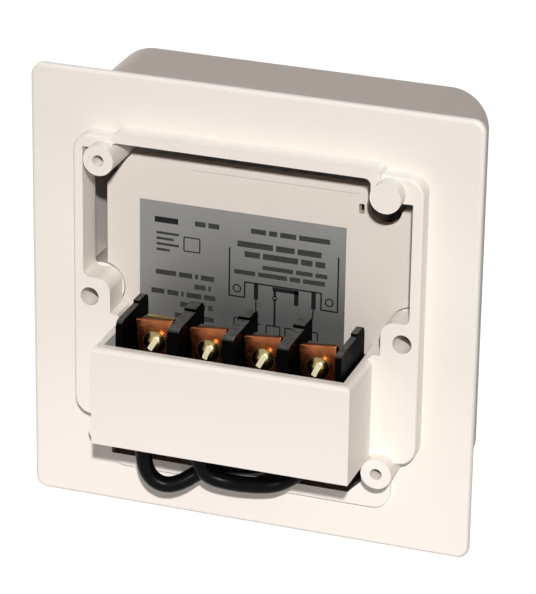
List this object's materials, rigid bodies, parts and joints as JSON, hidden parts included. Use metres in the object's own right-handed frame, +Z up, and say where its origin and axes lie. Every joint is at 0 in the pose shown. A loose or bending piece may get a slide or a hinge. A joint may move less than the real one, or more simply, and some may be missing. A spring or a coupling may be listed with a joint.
{
  "type": "analogue time switch",
  "caption": "Square wall-plate time switch with a segment dial on the front and, on the back, a moulded trough of screw terminals, a recessed cover and link leads.",
  "frame": {"origin": "middle of the line between the two fixing holes, in the plane of the wall plate's back face", "axes": "+Z is up on the wall, +Y goes into the wall box, and the dial faces -Y"},
  "size_m": [0.086, 0.0482, 0.086],
  "materials": {
    "plate_plastic": "moulded, satin gloss",
    "case_plastic": "moulded, satin gloss",
    "cover_plastic": "moulded, fine satin",
    "label_foil": "silver-grey printed foil",
    "black_moulding": "black moulding, semi-matt",
    "copper": "bright copper plating",
    "brass": "turned brass",
    "steel": "zinc plated steel",
    "lead_sleeve": "black insulation, soft gloss",
    "gear_plastic": "natural acetal",
    "dial_plastic": "moulded dial, printed numerals",
    "knob_plastic": "dark grey moulding",
    "pin_plastic": "blue moulding",
    "slider_plastic": "red moulding",
    "neon": "clear red window",
    "bulb": "clear bulb"
  },
  "bodies": {
    "housing": {"wall_plate": "plate_plastic", "front_case": "case_plastic", "time_pointer": "knob_plastic", "rear_cover": "cover_plastic", "rating_label": "label_foil", "terminal_block": "black_moulding", "terminal_strap_1": "brass", "terminal_strap_2": "brass", "terminal_strap_3": "brass", "terminal_strap_4": "brass", "chassis": "cover_plastic", "dial_bush": "brass", "idler_stud": "steel", "motor_can": "steel", "motor_cover": "steel", "motor_coil": "copper", "motor_screws": "steel", "switch_case": "black_moulding", "switch_cover": "black_moulding", "switch_terminals": "brass", "lever_pin": "steel", "slider_spring": "steel", "neon_lens": "neon", "neon_lamp": "bulb", "case_screws": "steel", "chassis_screws": "steel", "module_screws": "steel", "screw_caps": "plate_plastic", "lead_short": "lead_sleeve", "lead_long": "lead_sleeve", "lead_tags": "brass"},
    "dial": {"timing_dial": "dial_plastic", "dial_gear": "gear_plastic", "dial_arbor": "steel", "dial_knob": "knob_plastic", "clutch_spring": "steel", "dial_clip": "steel"},
    "pins_1": {"setting_pins_1": "pin_plastic"},
    "pins_2": {"setting_pins_2": "pin_plastic"},
    "pins_3": {"setting_pins_3": "pin_plastic"},
    "pins_4": {"setting_pins_4": "pin_plastic"},
    "pins_5": {"setting_pins_5": "pin_plastic"},
    "pins_6": {"setting_pins_6": "pin_plastic"},
    "idler": {"idler_gear": "gear_plastic"},
    "output_pinion": {"motor_pinion": "brass"},
    "rotor": {"motor_rotor": "steel"},
    "lever": {"trip_lever": "gear_plastic"},
    "plunger": {"switch_plunger": "gear_plastic"},
    "blade": {"switch_blade": "brass"},
    "override": {"override_slider": "slider_plastic"},
    "clamp_1": {"terminal_clamp_1": "copper"},
    "screw_1": {"terminal_screw_1": "brass"},
    "clamp_2": {"terminal_clamp_2": "copper"},
    "screw_2": {"terminal_screw_2": "brass"},
    "clamp_3": {"terminal_clamp_3": "copper"},
    "screw_3": {"terminal_screw_3": "brass"},
    "clamp_4": {"terminal_clamp_4": "copper"},
    "screw_4": {"terminal_screw_4": "brass"}
  },
  "joints": [
    {"name": "dial_turn", "type": "hinge", "parent": "housing", "child": "dial", "pos_m": [0, 0, 0.005], "axis": [0, 1, 0], "continuous": true},
    {"name": "idler_turn", "type": "hinge", "parent": "housing", "child": "idler", "pos_m": [-0.01188, 0, -0.00688], "axis": [0, 1, 0], "continuous": true},
    {"name": "output_pinion_turn", "type": "hinge", "parent": "housing", "child": "output_pinion", "pos_m": [-0.00588, 0, -0.01727], "axis": [0, 1, 0], "continuous": true},
    {"name": "rotor_turn", "type": "hinge", "parent": "housing", "child": "rotor", "pos_m": [-0.012, 0, -0.012], "axis": [0, 1, 0], "continuous": true},
    {"name": "pins_1_press", "type": "slide", "parent": "dial", "child": "pins_1", "axis": [0, 1, 0], "range_m": [-0.0022, 0]},
    {"name": "pins_2_press", "type": "slide", "parent": "dial", "child": "pins_2", "axis": [0, 1, 0], "range_m": [0, 0.0022]},
    {"name": "pins_3_press", "type": "slide", "parent": "dial", "child": "pins_3", "axis": [0, 1, 0], "range_m": [0, 0.0022]},
    {"name": "pins_4_press", "type": "slide", "parent": "dial", "child": "pins_4", "axis": [0, 1, 0], "range_m": [-0.0022, 0]},
    {"name": "pins_5_press", "type": "slide", "parent": "dial", "child": "pins_5", "axis": [0, 1, 0], "range_m": [0, 0.0022]},
    {"name": "pins_6_press", "type": "slide", "parent": "dial", "child": "pins_6", "axis": [0, 1, 0], "range_m": [0, 0.0022]},
    {"name": "lever_trip", "type": "hinge", "parent": "housing", "child": "lever", "pos_m": [0.0226, -0.0202, -0.008], "axis": [-1, 0, 0], "range_deg": [0, 2.6]},
    {"name": "plunger_push", "type": "slide", "parent": "housing", "child": "plunger", "axis": [0, 1, 0], "range_m": [0, 0.00036]},
    {"name": "blade_flex", "type": "hinge", "parent": "housing", "child": "blade", "pos_m": [0.0216, -0.0154, -0.0082], "axis": [-1, 0, 0], "range_deg": [0, 2.6], "stiffness_Nm_per_rad": 0.03, "springref_deg": -1.15},
    {"name": "override_slide", "type": "slide", "parent": "housing", "child": "override", "axis": [1, 0, 0], "range_m": [-0.003, 0.003]},
    {"name": "clamp_1_slide", "type": "slide", "parent": "housing", "child": "clamp_1", "axis": [0, 1, 0], "range_m": [-0.001, 0.0015]},
    {"name": "screw_1_turn", "type": "hinge", "parent": "clamp_1", "child": "screw_1", "pos_m": [-0.01649, 0, -0.0042], "axis": [0, 1, 0], "range_deg": [-600, 900]},
    {"name": "clamp_2_slide", "type": "slide", "parent": "housing", "child": "clamp_2", "axis": [0, 1, 0], "range_m": [-0.001, 0.0015]},
    {"name": "screw_2_turn", "type": "hinge", "parent": "clamp_2", "child": "screw_2", "pos_m": [-0.00603, 0, -0.0042], "axis": [0, 1, 0], "range_deg": [-600, 900]},
    {"name": "clamp_3_slide", "type": "slide", "parent": "housing", "child": "clamp_3", "axis": [0, 1, 0], "range_m": [-0.001, 0.0015]},
    {"name": "screw_3_turn", "type": "hinge", "parent": "clamp_3", "child": "screw_3", "pos_m": [0.00443, 0, -0.0042], "axis": [0, 1, 0], "range_deg": [-600, 900]},
    {"name": "clamp_4_slide", "type": "slide", "parent": "housing", "child": "clamp_4", "axis": [0, 1, 0], "range_m": [-0.001, 0.0015]},
    {"name": "screw_4_turn", "type": "hinge", "parent": "clamp_4", "child": "screw_4", "pos_m": [0.01489, 0, -0.0042], "axis": [0, 1, 0], "range_deg": [-600, 900]}
  ],
  "couplings": [
    {"joint": "idler_turn", "follows": "dial_turn", "ratio": -6},
    {"joint": "output_pinion_turn", "follows": "dial_turn", "ratio": 24},
    {"joint": "lever_trip", "follows": "plunger_push", "rad_per_m": 125},
    {"joint": "blade_flex", "follows": "plunger_push", "rad_per_m": 116.25},
    {"joint": "screw_1_turn", "follows": "clamp_1_slide", "rad_per_m": 10472},
    {"joint": "screw_2_turn", "follows": "clamp_2_slide", "rad_per_m": 10472},
    {"joint": "screw_3_turn", "follows": "clamp_3_slide", "rad_per_m": 10472},
    {"joint": "screw_4_turn", "follows": "clamp_4_slide", "rad_per_m": 10472}
  ]
}
